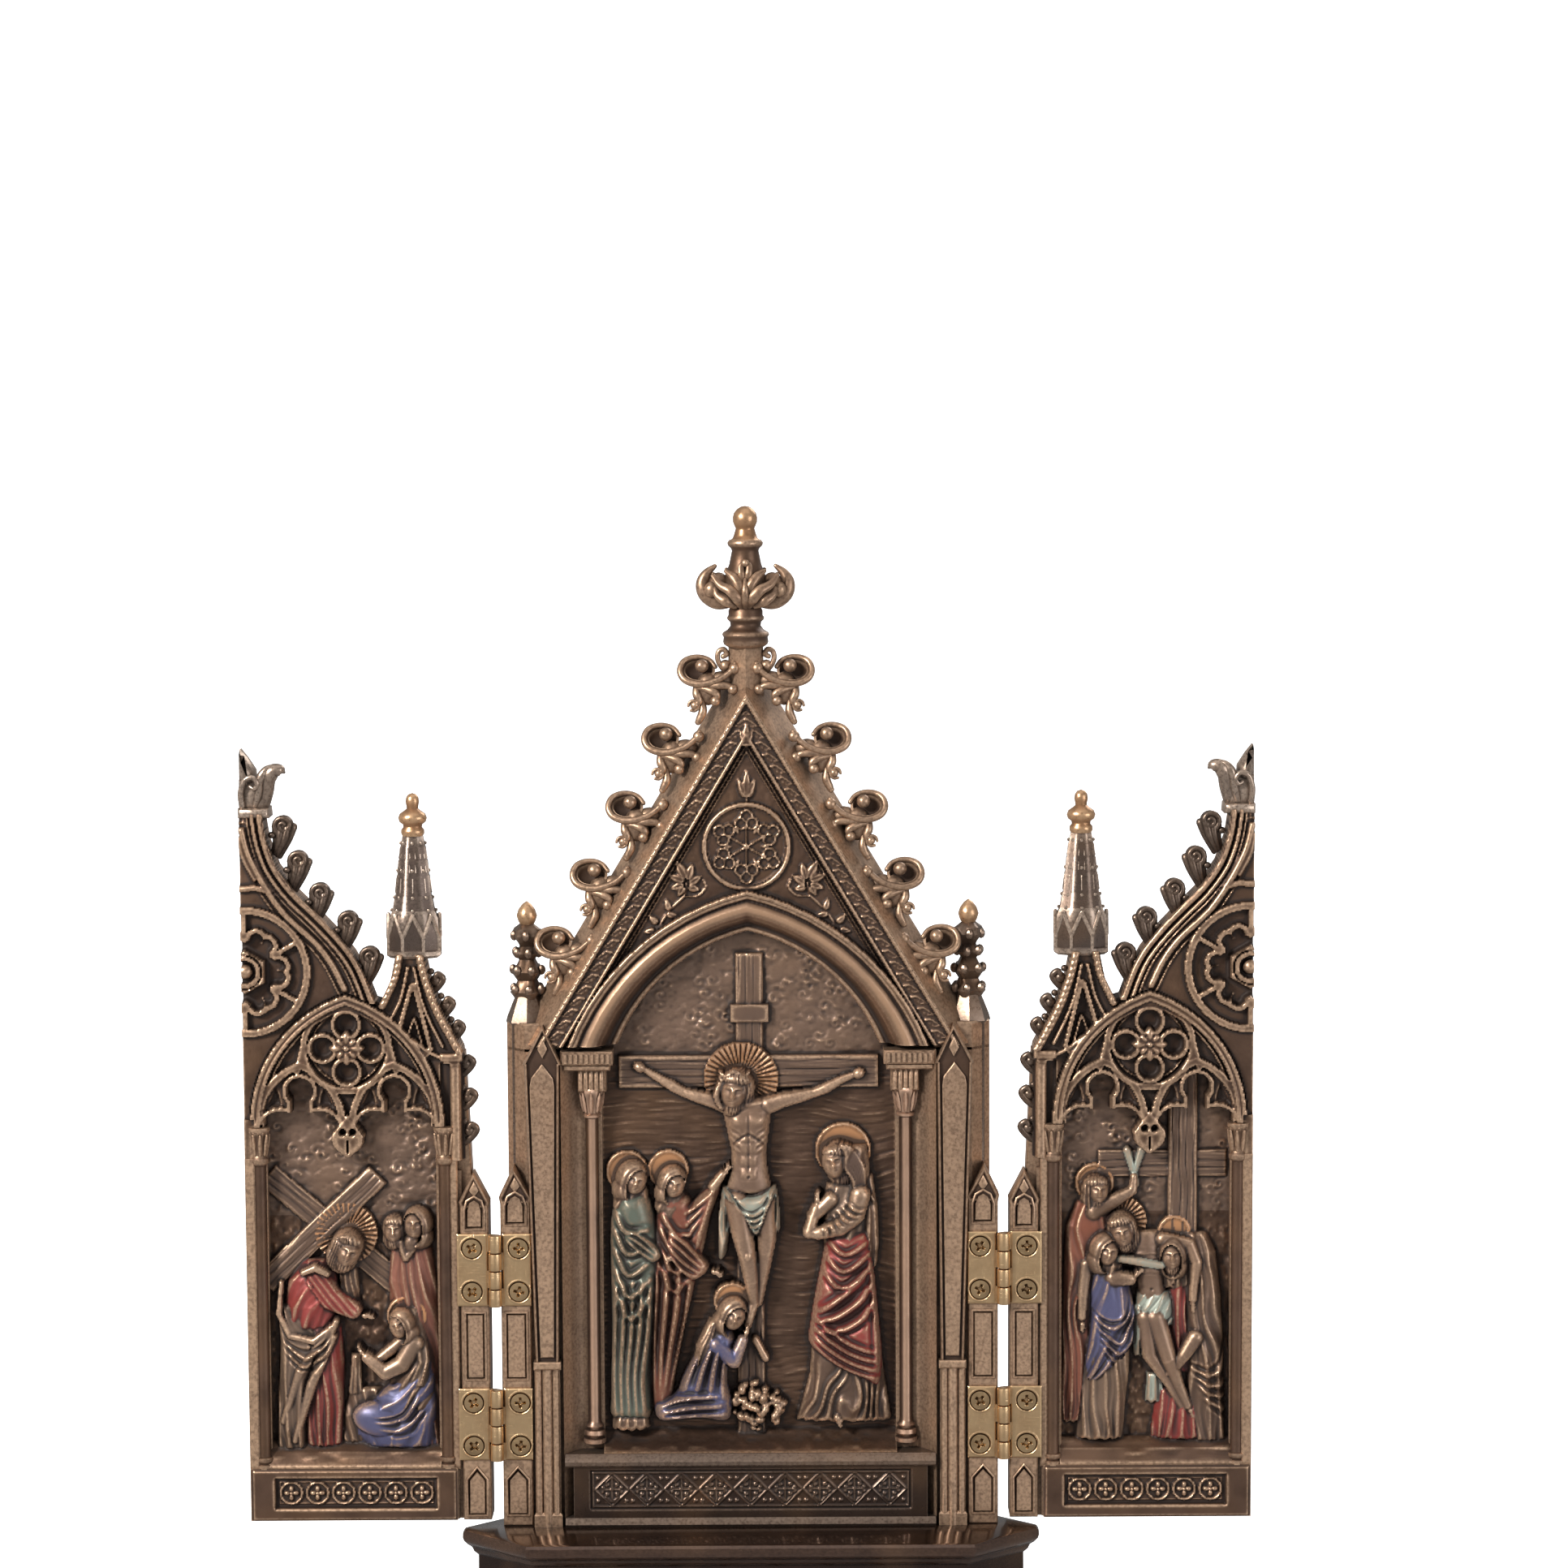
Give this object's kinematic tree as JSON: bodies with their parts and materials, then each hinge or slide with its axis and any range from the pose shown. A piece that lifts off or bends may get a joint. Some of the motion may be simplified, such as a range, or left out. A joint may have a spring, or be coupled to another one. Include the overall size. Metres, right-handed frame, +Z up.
{
  "type": "triptych altarpiece",
  "caption": "Table-top Gothic triptych in cold-cast bronze: gabled shrine on a shaped base with a painted relief, flanked by hinged tracery wings.",
  "frame": {"origin": "middle of the base's underside, which stands on the table", "axes": "+X across from the left wing to the right wing, seen from the front; -Y towards the viewer, the way the reliefs face; +Z up"},
  "size_m": [0.2282, 0.03, 0.264],
  "materials": {
    "casting": "resin cast with bronze powder, dark patina in the hollows, rubbed bright on the edges, painted figures",
    "base_casting": "the same casting, dark brown and glossy on the shelf",
    "hinge_brass": "stamped brass, aged",
    "screw_brass": "turned brass, aged"
  },
  "bodies": {
    "frame": {"plinth": "base_casting", "shrine": "casting", "hinge_frame_leaf_left_upper": "hinge_brass", "hinge_frame_leaf_left_lower": "hinge_brass", "hinge_frame_leaf_right_upper": "hinge_brass", "hinge_frame_leaf_right_lower": "hinge_brass", "hinge_pin_left_upper": "hinge_brass", "hinge_pin_left_lower": "hinge_brass", "hinge_pin_right_upper": "hinge_brass", "hinge_pin_right_lower": "hinge_brass", "screw_frame_left_upper_top": "screw_brass", "screw_frame_left_upper_bottom": "screw_brass", "screw_frame_left_lower_top": "screw_brass", "screw_frame_left_lower_bottom": "screw_brass", "screw_frame_right_upper_top": "screw_brass", "screw_frame_right_upper_bottom": "screw_brass", "screw_frame_right_lower_top": "screw_brass", "screw_frame_right_lower_bottom": "screw_brass"},
    "left_wing": {"wing_left": "casting", "hinge_wing_leaf_left_upper": "hinge_brass", "hinge_wing_leaf_left_lower": "hinge_brass", "screw_wing_left_upper_top": "screw_brass", "screw_wing_left_upper_bottom": "screw_brass", "screw_wing_left_lower_top": "screw_brass", "screw_wing_left_lower_bottom": "screw_brass"},
    "right_wing": {"wing_right": "casting", "hinge_wing_leaf_right_upper": "hinge_brass", "hinge_wing_leaf_right_lower": "hinge_brass", "screw_wing_right_upper_top": "screw_brass", "screw_wing_right_upper_bottom": "screw_brass", "screw_wing_right_lower_top": "screw_brass", "screw_wing_right_lower_bottom": "screw_brass"}
  },
  "joints": [
    {"name": "left_wing_hinge", "type": "hinge", "parent": "frame", "child": "left_wing", "pos_m": [-0.0576, 0.00025, 0], "axis": [0, 0, 1], "range_deg": [-10, 180]},
    {"name": "right_wing_hinge", "type": "hinge", "parent": "frame", "child": "right_wing", "pos_m": [0.0576, 0.00025, 0], "axis": [0, 0, -1], "range_deg": [-10, 180]}
  ]
}
